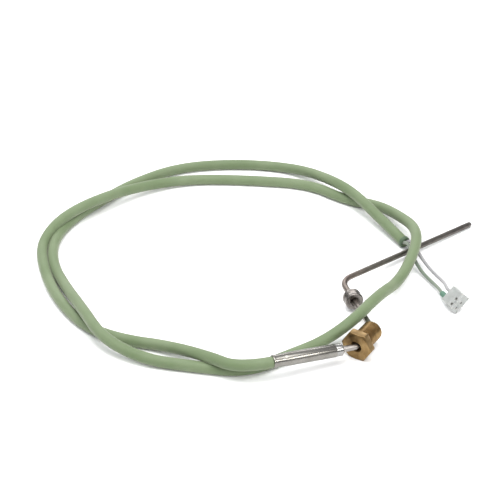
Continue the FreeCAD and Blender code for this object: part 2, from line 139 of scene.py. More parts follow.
# Each lead's last two points are on the axis of its way in the plug.
for route, side in ((WHITE_ROUTE, 1), (GREEN_ROUTE, -1)):
    entry = PLUG_PLACE @ Vector((PLUG_WAYS[side], LEAD_INSIDE - PLUG_LENGTH / 2, 0))
    route += [tuple(entry - PLUG_ALONG * LEAD_STRAIGHT), tuple(entry)]


# ---------------------------------------------------------------- camera, floor and light
def linked(name, data):
    """A new object in the scene, at the origin."""
    thing = bpy.data.objects.new(name, data)
    bpy.context.scene.collection.objects.link(thing)
    return thing


def make_camera():
    """A long lens, 33 degrees above the surface, square to the loop."""
    target = Vector((-0.0665, 0.0450, 0.0))
    data = bpy.data.cameras.new("camera")
    data.sensor_width = 36.0
    data.lens = 105.84
    data.clip_start, data.clip_end = 0.01, 20.0
    camera = linked("camera", data)
    camera.location = (-0.0665, -0.6201, 0.4319)
    camera.rotation_euler = (target - camera.location).to_track_quat("-Z", "Y").to_euler()
    bpy.context.scene.camera = camera


def make_tent():
    """A surround that is grey at the horizon and pale overhead, for the metals to reflect."""
    world = bpy.data.worlds.new("studio")
    world.use_nodes = True
    nodes, links = world.node_tree.nodes, world.node_tree.links
    heading = nodes.new("ShaderNodeTexCoord")
    parts = nodes.new("ShaderNodeSeparateXYZ")
    tent = nodes.new("ShaderNodeValToRGB")
    horizon, zenith = tent.color_ramp.elements
    horizon.position, horizon.color = 0.05, (0.30, 0.31, 0.32, 1)
    zenith.position, zenith.color = 0.95, (0.85, 0.86, 0.88, 1)
    links.new(heading.outputs["Generated"], parts.inputs["Vector"])
    links.new(parts.outputs["Z"], tent.inputs["Fac"])
    links.new(tent.outputs["Color"], nodes["Background"].inputs["Color"])
    bpy.context.scene.world = world


def softbox(name, location, aim, width, height, power, tint=(1, 1, 1)):
    """A rectangular lamp turned to face a point, in metres and watts."""
    data = bpy.data.lights.new(name, "AREA")
    data.shape = "RECTANGLE"
    data.size, data.size_y = width, height
    data.energy = power
    data.color = tint
    lamp = linked(name, data)
    lamp.location = location
    lamp.rotation_euler = (Vector(aim) - Vector(location)).to_track_quat("-Z", "Y").to_euler()


def make_floor():
    """A wide sheet of pale, dull paper."""
    reach = 3.0
    corners = [(-reach, -reach, 0), (reach, -reach, 0), (reach, reach, 0), (-reach, reach, 0)]
    mesh = bpy.data.meshes.new("floor")
    mesh.from_pydata(corners, [], [(0, 1, 2, 3)])
    paper = bpy.data.materials.new("paper")
    paper.use_nodes = True
    shader = paper.node_tree.nodes["Principled BSDF"]
    shader.inputs["Base Color"].default_value = (0.92, 0.92, 0.92, 1)
    shader.inputs["Roughness"].default_value = 0.9
    shader.inputs["Specular IOR Level"].default_value = 0.1
    mesh.materials.append(paper)
    linked("floor", mesh)


bpy.context.scene.view_settings.view_transform = "Standard"
make_camera()
make_tent()
softbox("overhead", (-0.12, -0.10, 1.30), (-0.07, 0.0, 0), 1.6, 0.9, 22.0)
softbox("key", (0.78, -0.86, 0.80), (-0.03, -0.02, 0), 1.0, 0.16, 9.0, (1.0, 0.985, 0.96))
softbox("fill", (-1.1, -0.2, 0.9), (0.0, 0.0, 0), 0.5, 0.9, 4.0, (0.97, 0.98, 1.0))
softbox("back", (-0.25, 1.15, 0.62), (-0.03, 0.0, 0), 1.3, 0.30, 6.0)
make_floor()


# ---------------------------------------------------------------- finishes
MIX_FACTOR, MIX_A, MIX_B, MIX_RESULT = 0, 6, 7, 2     # a Mix node's sockets when it mixes colours
NOISE_LOW, NOISE_HIGH = 0.3, 0.7                      # where most of a noise's values lie


class Finish:
    """A procedural material under construction, on Object coordinates in metres or on a piece's own UV map.

    A place centres and turns the pattern on its piece.
    """

    def __init__(self, name, place=None, on_surface=False, **shader_values):
        self.material = bpy.data.materials.new(name)
        self.material.use_nodes = True
        self.tree = self.material.node_tree
        self.shader = self.tree.nodes["Principled BSDF"]
        for socket, value in shader_values.items():
            self.shader.inputs[socket.replace("_", " ")].default_value = value
        source = self.add("ShaderNodeTexCoord").outputs["UV" if on_surface else "Object"]
        self.vector = source
        if place:
            frame_of_piece = self.add("ShaderNodeMapping", vector_type="TEXTURE")
            frame_of_piece.inputs["Location"].default_value = place.translation
            frame_of_piece.inputs["Rotation"].default_value = place.to_euler()
            self.link(source, frame_of_piece.inputs["Vector"])
            self.vector = frame_of_piece.outputs["Vector"]

    def add(self, kind, **settings):
        node = self.tree.nodes.new(kind)
        for name, value in settings.items():
            setattr(node, name, value)
        return node

    def link(self, source, target):
        self.tree.links.new(source, target)

    def stretched(self, scale):
        """The pattern's coordinates, times a factor for each of three directions."""
        mapping = self.add("ShaderNodeMapping")
        mapping.inputs["Scale"].default_value = scale
        self.link(self.vector, mapping.inputs["Vector"])
        return mapping.outputs["Vector"]

    def noise(self, scale, detail=3.0, stretch=(1, 1, 1)):
        """A cloudy pattern, with scale features to the metre before it is stretched."""
        texture = self.add("ShaderNodeTexNoise")
        texture.inputs["Scale"].default_value = scale
        texture.inputs["Detail"].default_value = detail
        self.link(self.stretched(stretch), texture.inputs["Vector"])
        return texture.outputs["Fac"]

    def ramp(self, factor, stops):
        """A colour that changes with a factor, from (place, colour) stops."""
        ramp = self.add("ShaderNodeValToRGB")
        while len(ramp.color_ramp.elements) < len(stops):
            ramp.color_ramp.elements.new(0.5)
        for element, (at, colour) in zip(ramp.color_ramp.elements, stops):
            element.position = at
            element.color = (*colour, 1)
        self.link(factor, ramp.inputs["Fac"])
        return ramp.outputs["Color"]

    def shade(self, factor, darkest, low=0.30):
        """A grey that goes from the darkest to white as a noise rises from low to 1 - low."""
        return self.ramp(factor, [(low, (darkest,) * 3), (1 - low, (1.0,) * 3)])

    def times(self, tone, shade):
        """One colour multiplied by another."""
        mixer = self.add("ShaderNodeMix", data_type="RGBA", blend_type="MULTIPLY")
        mixer.inputs[MIX_FACTOR].default_value = 1.0
        self.link(tone, mixer.inputs[MIX_A])
        self.link(shade, mixer.inputs[MIX_B])
        return mixer.outputs[MIX_RESULT]

    def colour(self, source):
        self.link(source, self.shader.inputs["Base Color"])

    def roughness(self, factor, low, high):
        """Roughness between low and high over the noise's usual values."""
        span = self.add("ShaderNodeMapRange")
        span.inputs["From Min"].default_value = NOISE_LOW
        span.inputs["From Max"].default_value = NOISE_HIGH
        span.inputs["To Min"].default_value = low
        span.inputs["To Max"].default_value = high
        self.link(factor, span.inputs["Value"])
        self.link(span.outputs["Result"], self.shader.inputs["Roughness"])

    def bump(self, *layers):
        """Surface relief from (height source, depth) layers, one on the other."""
        normal = None
        for source, depth in layers:
            relief = self.add("ShaderNodeBump")
            relief.inputs["Strength"].default_value = 1.0
            relief.inputs["Distance"].default_value = depth
            self.link(source, relief.inputs["Height"])
            if normal:
                self.link(normal, relief.inputs["Normal"])
            normal = relief.outputs["Normal"]
        self.link(normal, self.shader.inputs["Normal"])


def rubber(name, dark, light, sheen):
    """Soft extruded jacket: mottled, satin, with a dusty bloom at a glancing angle."""
    finish = Finish(name, Sheen_Weight=sheen, Sheen_Roughness=0.45, Sheen_Tint=(0.95, 0.86, 0.84, 1),
                    Specular_IOR_Level=0.32)
    broad, fine, ripple = finish.noise(55, 2.0), finish.noise(900, 4.0), finish.noise(180, 2.0)
    tone = finish.ramp(broad, [(0.36, dark), (0.64, light)])
    finish.colour(finish.times(tone, finish.shade(fine, 0.93)))
    finish.roughness(fine, 0.50, 0.66)
    finish.bump((fine, 0.03 * MM), (ripple, 0.08 * MM))
    return finish.material


def steel(name, place, stretch, tones, rough, grain_depth=0.010 * MM):
    """Brushed or turned steel: the grain follows the stretch, and the tone drifts slowly."""
    finish = Finish(name, place, Metallic=1.0)
    grain, drift = finish.noise(2500, 3.0, stretch), finish.noise(160, 2.0)
    finish.colour(finish.times(finish.ramp(drift, tones), finish.shade(grain, 0.86)))
    finish.roughness(grain, *rough)
    finish.bump((grain, grain_depth))
    return finish.material


def drawn_sheath(length):
    """Heat-tinted drawn sheath: pale by the nut, brown at the bend, dark along the rod, paler at the weld."""
    finish = Finish("drawn_sheath", on_surface=True, Metallic=1.0)
    grain = finish.noise(1.0, 3.0, (1800, 60, 1))
    patches = finish.noise(1.0, 4.0, (500, 220, 1))
    parts = finish.add("ShaderNodeSeparateXYZ")
    finish.link(finish.vector, parts.inputs["Vector"])
    along = finish.add("ShaderNodeMapRange")
    along.inputs["From Max"].default_value = length
    finish.link(parts.outputs["Y"], along.inputs["Value"])
    tint = finish.ramp(along.outputs["Result"], [
        (0.00, (0.34, 0.32, 0.30)), (0.20, (0.32, 0.30, 0.28)), (0.34, (0.24, 0.21, 0.185)),
        (0.47, (0.21, 0.17, 0.15)), (0.56, (0.16, 0.15, 0.13)), (0.98, (0.13, 0.12, 0.11)),
        (1.00, (0.22, 0.21, 0.20))])
    finish.colour(finish.times(tint, finish.shade(patches, 0.70, 0.35)))
    finish.roughness(grain, 0.30, 0.46)
    finish.bump((grain, 0.01 * MM), (patches, 0.02 * MM))
    return finish.material


def brass():
    """Machined brass with tarnish in patches and turning marks round its axis."""
    finish = Finish("machined_brass", NUT_PLACE, Metallic=1.0)
    tarnish, marks = finish.noise(260, 4.0), finish.noise(3000, 2.0, (0.04, 0.04, 1.0))
    tone = finish.ramp(tarnish, [
        (0.30, (0.180, 0.112, 0.046)), (0.50, (0.245, 0.158, 0.068)), (0.72, (0.330, 0.222, 0.100))])
    finish.colour(finish.times(tone, finish.shade(marks, 0.84)))
    finish.roughness(tarnish, 0.26, 0.36)
    finish.bump((marks, 0.006 * MM), (finish.noise(1400, 3.0), 0.004 * MM))
    return finish.material


def nylon():
    """Natural nylon: milky, with light passing a little way in."""
    finish = Finish("natural_nylon", PLUG_PLACE, Subsurface_Weight=0.45, Subsurface_Scale=2.0 * MM,
                    Subsurface_Radius=(1.0, 0.95, 0.85))
    cloud, fine = finish.noise(420, 3.0), finish.noise(3200, 3.0)
    finish.colour(finish.ramp(cloud, [(0.3, (0.30, 0.315, 0.30)), (0.7, (0.36, 0.365, 0.355))]))
    finish.roughness(fine, 0.30, 0.44)
    finish.bump((fine, 0.012 * MM))
    return finish.material


def plain_grain(name, dark, light, scale, rough, metallic):
    """A finish for a piece inside the others, such as powder, resin or bare wire."""
    finish = Finish(name, Metallic=metallic)
    grain = finish.noise(scale, 4.0)
    finish.colour(finish.ramp(grain, [(0.32, dark), (0.68, light)]))
    finish.roughness(grain, *rough)
    finish.bump((grain, 0.02 * MM))
    return finish.material


# ---------------------------------------------------------------- how pieces are made
def finished(piece, body, replaces=()):
    """The piece, riding on its body and the CAD nodes that it stands for."""
    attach(piece, body)
    if replaces:
        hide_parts(*replaces)
    return piece


def plain_mesh(maker, name):
    """The mesh that an object's modifiers make, with no modifier left."""
    depsgraph = bpy.context.evaluated_depsgraph_get()
    mesh = bpy.data.meshes.new_from_object(maker.evaluated_get(depsgraph))
    mesh.name = name
    return mesh


def shaded(mesh, sharp_degrees):
    """Smooth shading with the sharp edges kept, on a closed skin whose faces point outwards."""
    work = bmesh.new()
    work.from_mesh(mesh)
    bmesh.ops.remove_doubles(work, verts=work.verts, dist=1e-7)
    bmesh.ops.recalc_face_normals(work, faces=work.faces)
    work.to_mesh(mesh)
    work.free()
    mesh.shade_smooth()
    mesh.set_sharp_from_angle(angle=math.radians(sharp_degrees))


def skin(name, rings, material, place=None, loop=False, spans=None, sharp_degrees=32):
    """A piece from rings of points joined in turn: a closed loop of rings, or a bar with capped ends."""
    count = len(rings[0])
    points = [Vector(point) for ring in rings for point in ring]
    if place:
        points = [place @ point for point in points]
    faces = []
    for i in range(len(rings) if loop else len(rings) - 1):
        here, there = i * count, (i + 1) % len(rings) * count
        for k in range(count):
            following = (k + 1) % count
            faces.append((here + k, here + following, there + following, there + k))
    if not loop:
        faces.append(tuple(range(count)))
        faces.append(tuple(range((len(rings) - 1) * count, len(rings) * count)))
    mesh = bpy.data.meshes.new(name)
    mesh.from_pydata(points, [], faces)
    if spans:
        lay_out(mesh, count, spans)
    mesh.materials.append(material)
    shaded(mesh, sharp_degrees)
    return linked(name, mesh)


def lay_out(mesh, count, spans):
    """The sheath's UV map in metres: round the bar and along it."""
    layer = mesh.uv_layers.new(name="along")
    girth = math.pi * SHEATH_DIA
    for face in mesh.polygons:
        columns = [mesh.loops[i].vertex_index % count for i in face.loop_indices]
        wraps = len(columns) == 4 and max(columns) == count - 1 and min(columns) == 0
        for i, column in zip(face.loop_indices, columns):
            turn = column + (count if wraps and column == 0 else 0)
            row = mesh.loops[i].vertex_index // count
            layer.data[i].uv = (turn / count * girth, spans[row])


def turned(name, outline, material, place, sides=96):
    """A closed ring turned about its own Z, from (radius, height) corners in millimetres."""
    angles = [math.tau * k / sides for k in range(sides)]
    rings = [[(radius * MM * math.cos(a), radius * MM * math.sin(a), height * MM) for a in angles]
             for radius, height in outline]
    return skin(name, rings, material, place, loop=True)


def eased(corners, radius, steps=4):
    """A closed outline with each corner rounded by up to the radius, in millimetres."""
    most = 0.45                                  # of a side, so that two roundings don't meet
    outline = []
    for i, corner in enumerate(corners):
        here = Vector(corner)
        back, ahead = Vector(corners[i - 1]) - here, Vector(corners[(i + 1) % len(corners)]) - here
        reach = min(radius, most * back.length, most * ahead.length)
        start, end = here + back.normalized() * reach, here + ahead.normalized() * reach
        for step in range(steps + 1):
            t = step / steps
            outline.append(tuple(start * (1 - t) ** 2 + here * 2 * t * (1 - t) + end * t ** 2))
    return outline


# ---------------------------------------------------------------- the cords
def cord_curve(name, route, diameter, material):
    """A smooth round cord whose route is its spline's own control points."""
    data = bpy.data.curves.new(name, "CURVE")
    data.dimensions = "3D"
    spline = data.splines.new("NURBS")
    spline.points.add(len(route) - 1)
    for spot, point in zip(spline.points, route):
        spot.co = (*point, 1)
    spline.order_u = 3
    spline.use_endpoint_u = True
    data.resolution_u = CORD_STEPS
    data.bevel_depth = diameter / 2
    data.bevel_resolution = 7
    data.use_fill_caps = True
    data.materials.append(material)
    return linked(name, data)


def make_cords():
    """The green cable and the two thin leads between its end and the plug."""
    green = rubber("green_jacket_rubber", (0.118, 0.164, 0.080), (0.146, 0.191, 0.104), 0.22)
    cable = cord_curve("cable", CABLE_ROUTE, CABLE_DIA, green)
    finished(cable, "probe", ["cable_jacket"])
    white = rubber("white_lead_rubber", (0.27, 0.27, 0.275), (0.32, 0.315, 0.32), 0.2)
    pale_green = rubber("green_lead_rubber", (0.130, 0.165, 0.125), (0.165, 0.195, 0.155), 0.2)
    leads = []
    for name, route, material, slot, node in (
            ("white_lead", WHITE_ROUTE, white, "white_insulation", "lead_negative"),
            ("green_lead", GREEN_ROUTE, pale_green, "green_insulation", "lead_positive")):
        lead = cord_curve(name, route, LEAD_DIA, material)
        finished(lead, "probe", [node])
        leads.append(lead)
    return cable, leads


cable, leads = make_cords()


def make_breakout_sleeve():
    """Shrunk tube at the end of the jacket, where the two leads come out. Its green, darker than the jacket's, is
    painted shade.
    """
    end, before = Vector(CABLE_ROUTE[-1]), Vector(CABLE_ROUTE[-2])
    axis = (end - before).normalized()
    jacket, length, past_end = CABLE_DIA / 2 / MM, 2.0, 0.1
    bore, outside, lip = jacket + 0.02, jacket + 0.3, jacket - 0.9
    outline = eased([(bore, 0), (outside - 0.1, 0), (outside, 0.6), (outside, length - 0.4),
                     (jacket - 0.3, length + 0.3), (lip, length + 0.2), (lip, length - 0.3),
                     (bore, length - 0.3)], 0.25)
    # painted shade: the sleeve is darker than the jacket, standing for the shade where the jacket ends under the
    # crossing cable
    material = rubber("shrunk_sleeve_painted_shade", (0.060, 0.100, 0.055), (0.085, 0.125, 0.075), 0.1)
    place = standing(end - axis * (length - past_end) * MM, axis)
    piece = turned("shrunk_sleeve", outline, material, place, 64)
    return finished(piece, "probe", ["breakout_sleeve"])


def make_marker():
    """Collar with tapered ends on the positive lead, just behind the plug."""
    bore, rim, radius, taper, length, gap = 0.92, 1.25, 1.5, 0.5, 4.5, 1.7
    outline = eased([(bore, 0), (rim, 0), (radius, taper), (radius, length - taper), (rim, length),
                     (bore, length)], 0.3)
    material = rubber("green_marker_tube", (0.060, 0.140, 0.095), (0.085, 0.175, 0.125), 0.1)
    place = standing(Vector(GREEN_ROUTE[-1]) - PLUG_ALONG * (length + gap) * MM, PLUG_ALONG)
    piece = turned("marker_collar", outline, material, place, 48)
    return finished(piece, "probe", ["lead_marker"])


# ---------------------------------------------------------------- the sheath
def bent_path(corners, bends, steps=14):
    """Points along straight runs joined by arcs, with the distance to each."""
    points = [corners[0]]
    for before, corner, after, bend in zip(corners, corners[1:], corners[2:], bends):
        back, ahead = (before - corner).normalized(), (after - corner).normalized()
        half_turn = (math.pi - back.angle(ahead)) / 2
        reach = bend * math.tan(half_turn)
        centre = corner + (back + ahead).normalized() * (bend / math.cos(half_turn))
        start, end = corner + back * reach - centre, corner + ahead * reach - centre
        axis, turn = start.cross(end), start.angle(end)
        for step in range(steps + 1):
            points.append(centre + Matrix.Rotation(turn * step / steps, 3, axis) @ start)
    points.append(corners[-1])
    dense = [points[0]]
    for a, b in zip(points, points[1:]):
        pieces = max(1, round((b - a).length / PATH_STEP))
        dense += [a.lerp(b, k / pieces) for k in range(1, pieces + 1)]
    spans = [0.0]
    for a, b in zip(dense, dense[1:]):
        spans.append(spans[-1] + (b - a).length)
    return dense, spans


SHEATH_PATH, SHEATH_SPANS = bent_path(
    [SLEEVE_TAIL + SLEEVE_AXIS * SHEATH_IN_SLEEVE] + SHEATH_CORNERS + [ROD_TIP], SHEATH_BENDS)
SHEATH_SPAN = SHEATH_SPANS[-1]


def make_sheath():
    """The bent tube, closed at its tip by a domed weld. Its other end is out of sight in the sleeve."""
    sides, radius, dome_steps = 40, SHEATH_DIA / 2, 8
    angles = [math.tau * k / sides for k in range(sides)]

    def ring(centre, side, up, reach):
        return [centre + (side * math.cos(a) + up * math.sin(a)) * reach for a in angles]

    rings, spans = [], []
    side = Vector((0, 0, 1))
    count = len(SHEATH_PATH)
    for i, (point, span) in enumerate(zip(SHEATH_PATH, SHEATH_SPANS)):
        if SHEATH_SPAN - span < TIP_ROUND:
            continue
        ahead = (SHEATH_PATH[min(i + 1, count - 1)] - SHEATH_PATH[max(i - 1, 0)]).normalized()
        side = (side - ahead * side.dot(ahead)).normalized()
        up = ahead.cross(side)
        rings.append(ring(point, side, up, radius))
        spans.append(span)
    for step in range(dome_steps):
        lean = step / dome_steps * math.pi / 2
        behind_tip = TIP_ROUND * (1 - math.sin(lean))
        reach = radius - TIP_ROUND * (1 - math.cos(lean))
        rings.append(ring(ROD_TIP - ROD_AXIS * behind_tip, side, up, reach))
        spans.append(SHEATH_SPAN - behind_tip)
    piece = skin("bent_sheath", rings, drawn_sheath(SHEATH_SPAN), spans=spans)
    return finished(piece, "probe", ["probe_sheath"])


# ---------------------------------------------------------------- the transition sleeve
def make_transition_sleeve():
    """Turned tube, crimped on the cable with a dimple on each side of it."""
    material = steel("brushed_sleeve", SLEEVE_PLACE, (1.0, 1.0, 0.03),
                     [(0.3, (0.21, 0.20, 0.18)), (0.7, (0.27, 0.26, 0.24))], (0.22, 0.30), 0.004 * MM)
    sides, body, bead, crimped, bore = 96, 3.3, 3.25, 3.15, 3.0
    nose_bore, bore_depth, nose = 2.6, 10.0, (SLEEVE_LENGTH - BUSH_HEAD) / MM
    crimp_start, crimp_end, crimp_rings = 1.1, 6.0, 14
    dimple_at, dimple_reach, dimple_depth, dimple_turn = 3.3, 1.9, 0.42, math.radians(20)
    thinnest_wall = 0.02
    crimp_step = (crimp_end - crimp_start) / crimp_rings
    profile = [(bore, 0.0), (bead - 0.07, 0.0), (bead, 0.12), (bead, 0.7)]
    profile += [(crimped, crimp_start + crimp_step * k) for k in range(crimp_rings + 1)]
    profile += [(body - 0.02, crimp_end + 0.75), (body, crimp_end + 1.1), (body, nose - 0.25),
                (body - 0.12, nose), (nose_bore, nose), (nose_bore, bore_depth), (bore, bore_depth)]
    rings = []
    for radius, height in profile:
        ring = []
        for k in range(sides):
            angle = math.tau * k / sides
            lobe = max(0.0, math.cos(2 * (angle - dimple_turn))) ** 3
            along = max(0.0, 1 - ((height - dimple_at) / dimple_reach) ** 2)
            pressed = max(bore + thinnest_wall, radius - dimple_depth * lobe * along)
            reach = min(radius, pressed) * MM
            ring.append((reach * math.cos(angle), reach * math.sin(angle), height * MM))
        rings.append(ring)
    piece = skin("crimped_sleeve", rings, material, SLEEVE_PLACE, loop=True, sharp_degrees=40)
    return finished(piece, "probe", ["transition_sleeve"])


def make_end_bush():
    """Bright bush: a shank inside the sleeve's nose and a chamfered head round the sheath."""
    bright = steel("bright_bush", SLEEVE_PLACE, (0.04, 0.04, 1.0),
                   [(0.3, (0.27, 0.265, 0.255)), (0.7, (0.33, 0.325, 0.315))], (0.16, 0.26))
    end, nose = SLEEVE_LENGTH / MM, (SLEEVE_LENGTH - BUSH_HEAD) / MM
    bore, shank, head, shank_length, chamfer = SHEATH_DIA / 2 / MM, 2.59, 3.1, 4.0, 0.5
    outline = eased([(bore, nose - shank_length), (shank, nose - shank_length), (shank, nose + 0.01),
                     (head, nose + 0.01), (head, end - chamfer), (head - chamfer, end), (1.95, end),
                     (1.75, end - 0.3), (bore, end - 0.3)], 0.12)
    bush = turned("end_bush", outline, bright, SLEEVE_PLACE)
    return finished(bush, "probe", ["sleeve_end_bush"])


# ---------------------------------------------------------------- the gland nut, in millimetres
HEX_FLATS, HEX_LENGTH, NUT_LENGTH = 14.3, 4.2, 17.7
CORNER_CUT = 0.10                                # how far each corner of the hexagon is broken
NUT_HOLE, NUT_RELIEF, NUT_NECK = 2.4, 3.6, 4.5   # radii of the mouth, the bore behind it and the undercut
THREAD_CREST, THREAD_ROOT, THREAD_PITCH = 5.15, 4.70, 0.94
THREAD_FROM, THREAD_TO = 5.9, 16.9
THREAD_BITE = 0.02                               # how far the thread's foot is sunk in the barrel


def hex_radius(angle):
    """The hexagon's reach at an angle from the middle of a flat, with its corners a little broken."""
    sector = (angle + math.radians(30)) % math.radians(60) - math.radians(30)
    corner = HEX_FLATS / 2 / math.cos(math.radians(30))
    return min(HEX_FLATS / 2 / math.cos(sector), corner - CORNER_CUT)


def make_gland_nut(material):
    """Crowned hexagon, undercut neck and a barrel, in one turned and milled piece."""
    sector_steps = [-29.6, -28.8, -27, -22, -15, -7.5, 0, 7.5, 15, 22, 27, 28.8, 29.6]
    flat_down = math.radians(30)
    angles = [math.radians(60 * sector + step) for sector in range(6) for step in sector_steps]
    flat = HEX_FLATS / 2

    def ring(reach_at, height_at):
        return [(reach_at(a) * MM * math.cos(a + flat_down), reach_at(a) * MM * math.sin(a + flat_down),
                 height_at(a) * MM) for a in angles]

    def plain(radius, height):
        return ring(lambda a: radius, lambda a: height)

    def crown_height(angle):
        return max(0.12, (hex_radius(angle) - flat + 0.1) / 2)

    # From the mouth, over the outside and back through the bore. Rings within a flat face hold its shading.
    rings = [plain(NUT_HOLE, 0.5), plain(NUT_HOLE + 0.5, 0.0), plain(3.4, 0.0), plain(5.2, 0.0),
             plain(flat - 0.35, 0.0), plain(flat - 0.12, 0.0),
             ring(lambda a: min(flat, hex_radius(a)) - 0.01, lambda a: 0.05),
             ring(lambda a: hex_radius(a) - 0.05, lambda a: crown_height(a) - 0.02),
             ring(hex_radius, lambda a: crown_height(a) + 0.06),
             ring(hex_radius, lambda a: 2.4),
             ring(hex_radius, lambda a: HEX_LENGTH - 0.15 - 0.5 * (hex_radius(a) - flat)),
             ring(lambda a: hex_radius(a) - 0.15, lambda a: HEX_LENGTH),
             plain(6.2, HEX_LENGTH), plain(NUT_NECK + 0.25, HEX_LENGTH), plain(NUT_NECK, HEX_LENGTH + 0.2),
             plain(NUT_NECK, HEX_LENGTH + 1.1), plain(THREAD_ROOT, THREAD_FROM - 0.3),
             plain(THREAD_ROOT, 8), plain(THREAD_ROOT, 12), plain(THREAD_ROOT, THREAD_TO - 0.3),
             plain(4.55, NUT_LENGTH - 0.45), plain(4.15, NUT_LENGTH - 0.08), plain(4.0, NUT_LENGTH),
             plain(NUT_RELIEF + 0.1, NUT_LENGTH), plain(NUT_RELIEF, NUT_LENGTH - 0.1), plain(NUT_RELIEF, 8.0),
             plain(NUT_RELIEF, 3.2), plain(NUT_HOLE, 2.0)]
    nut = skin("brass_gland_nut", rings, material, NUT_PLACE, loop=True, sharp_degrees=24)
    return finished(nut, "nut", ["gland_nut"])


THREAD_SIZES = {
    "Turns": (THREAD_TO - THREAD_FROM) / THREAD_PITCH,
    "Root Radius": (THREAD_ROOT - THREAD_BITE) * MM,
    "Length": (THREAD_TO - THREAD_FROM) * MM,
    "Depth": (THREAD_CREST - THREAD_ROOT) * MM,
    "Root Width": 0.86 * MM,
    "Crest Width": 0.20 * MM,
}


def thread_tree(material):
    """Geometry nodes: a ridge of trapezoid section wound round a barrel, tapering out at both ends."""
    tree = bpy.data.node_groups.new("wound_thread", "GeometryNodeTree")
    tree.interface.new_socket(name="Geometry", in_out="OUTPUT", socket_type="NodeSocketGeometry")
    for name in THREAD_SIZES:
        tree.interface.new_socket(name=name, in_out="INPUT", socket_type="NodeSocketFloat")
    nodes, links = tree.nodes, tree.links
    given = nodes.new("NodeGroupInput")

    spiral = nodes.new("GeometryNodeCurveSpiral")
    spiral.inputs["Resolution"].default_value = 48
    links.new(given.outputs["Turns"], spiral.inputs["Rotations"])
    links.new(given.outputs["Root Radius"], spiral.inputs["Start Radius"])
    links.new(given.outputs["Root Radius"], spiral.inputs["End Radius"])
    links.new(given.outputs["Length"], spiral.inputs["Height"])
    upright = nodes.new("GeometryNodeSetCurveNormal")
    upright.mode = "Z_UP"
    links.new(spiral.outputs["Curve"], upright.inputs["Curve"])

    along = nodes.new("GeometryNodeSplineParameter")
    runout = nodes.new("ShaderNodeFloatCurve")
    shape = runout.mapping.curves[0]
    faded, full_from, full_to = 0.05, 0.06, 0.93
    shape.points[0].location = (0.0, faded)
    shape.points[1].location = (1.0, faded)
    for spot in (full_from, full_to):
        shape.points.new(spot, 1.0)
    runout.mapping.update()
    links.new(along.outputs["Factor"], runout.inputs["Value"])

    section = nodes.new("GeometryNodeCurvePrimitiveQuadrilateral")
    section.mode = "TRAPEZOID"
    section.inputs["Offset"].default_value = 0.0
    links.new(given.outputs["Root Width"], section.inputs["Bottom Width"])
    links.new(given.outputs["Crest Width"], section.inputs["Top Width"])
    links.new(given.outputs["Depth"], section.inputs["Height"])
    lifted = nodes.new("GeometryNodeTransform")
    lifted.inputs["Rotation"].default_value = (0, 0, math.pi / 2)
    half = nodes.new("ShaderNodeMath")
    half.operation = "MULTIPLY"
    half.inputs[1].default_value = -0.5
    links.new(given.outputs["Depth"], half.inputs[0])
    outwards = nodes.new("ShaderNodeCombineXYZ")
    links.new(half.outputs["Value"], outwards.inputs["X"])
    links.new(outwards.outputs["Vector"], lifted.inputs["Translation"])
    links.new(section.outputs["Curve"], lifted.inputs["Geometry"])

    ridge = nodes.new("GeometryNodeCurveToMesh")
    ridge.inputs["Fill Caps"].default_value = True
    links.new(upright.outputs["Curve"], ridge.inputs["Curve"])
    links.new(lifted.outputs["Geometry"], ridge.inputs["Profile Curve"])
    links.new(runout.outputs["Value"], ridge.inputs["Scale"])
    real = nodes.new("GeometryNodeRealizeInstances")
    coated = nodes.new("GeometryNodeSetMaterial")
    coated.inputs["Material"].default_value = material
    result = nodes.new("NodeGroupOutput")
    links.new(ridge.outputs["Mesh"], real.inputs["Geometry"])
    links.new(real.outputs["Geometry"], coated.inputs["Geometry"])
    links.new(coated.outputs["Geometry"], result.inputs["Geometry"])
    return tree


def make_thread(material):
    """The thread's ridge, wound by geometry nodes and set on the nut's barrel."""
    carrier = linked("thread_carrier", bpy.data.meshes.new("thread_seed"))
    modifier = carrier.modifiers.new("thread", "NODES")
    modifier.node_group = thread_tree(material)
    for socket in modifier.node_group.interface.items_tree:
        if socket.in_out == "INPUT":
            modifier[socket.identifier] = THREAD_SIZES[socket.name]
    mesh = plain_mesh(carrier, "gland_thread")
    carrier.modifiers.remove(modifier)
    bpy.data.objects.remove(carrier)
    mesh.transform(NUT_PLACE @ Matrix.Translation((0, 0, THREAD_FROM * MM)))
    shaded(mesh, 30)
    return finished(linked("gland_thread", mesh), "nut")


# ---------------------------------------------------------------- the ferrules
def make_ferrules():
    """Two turned rings, back to back, with a groove between them and a shallow dish round the sheath."""
    material = steel("turned_ferrule_steel", FERRULE_PLACE, (0.05, 0.05, 1.0),
                     [(0.3, (0.13, 0.115, 0.105)), (0.7, (0.25, 0.23, 0.215))], (0.20, 0.36), 0.016 * MM)
    bore, radius, groove, length, ease = 1.56, 4.7, 4.1, 6.5, 0.16
    parting, gap = 3.1, 0.01                     # where the two rings meet, and half the gap between them
    back = eased([(bore, 0.6), (1.9, 0.5), (2.5, 0.1), (2.8, 0.0), (4.25, 0.0), (radius, 0.45),
                  (radius, 2.65), (groove, 2.95), (groove, parting - gap), (bore, parting - gap)], ease)
    front = eased([(bore, parting + gap), (groove, parting + gap), (groove, 3.4), (radius, 3.7),
                   (radius, 5.35), (3.3, length), (2.2, length), (1.9, length - 0.2),
                   (bore, length - 0.2)], ease)
    for node, outline in (("back_ferrule", back), ("front_ferrule", front)):
        piece = turned(f"{node}_ring", outline, material, FERRULE_PLACE)
        finished(piece, "ferrule_pair", [node])


# ---------------------------------------------------------------- the plug
def box_mesh(name, centre, extent):
    """A box in millimetres in the plug's own directions: across, along and out."""
    work = bmesh.new()
    bmesh.ops.create_cube(work, size=1)
    for vert in work.verts:
        vert.co = Vector(c + v * e for c, v, e in zip(centre, vert.co, extent)) * MM
    mesh = bpy.data.meshes.new(name)
    work.to_mesh(mesh)
    work.free()
    return linked(name, mesh)


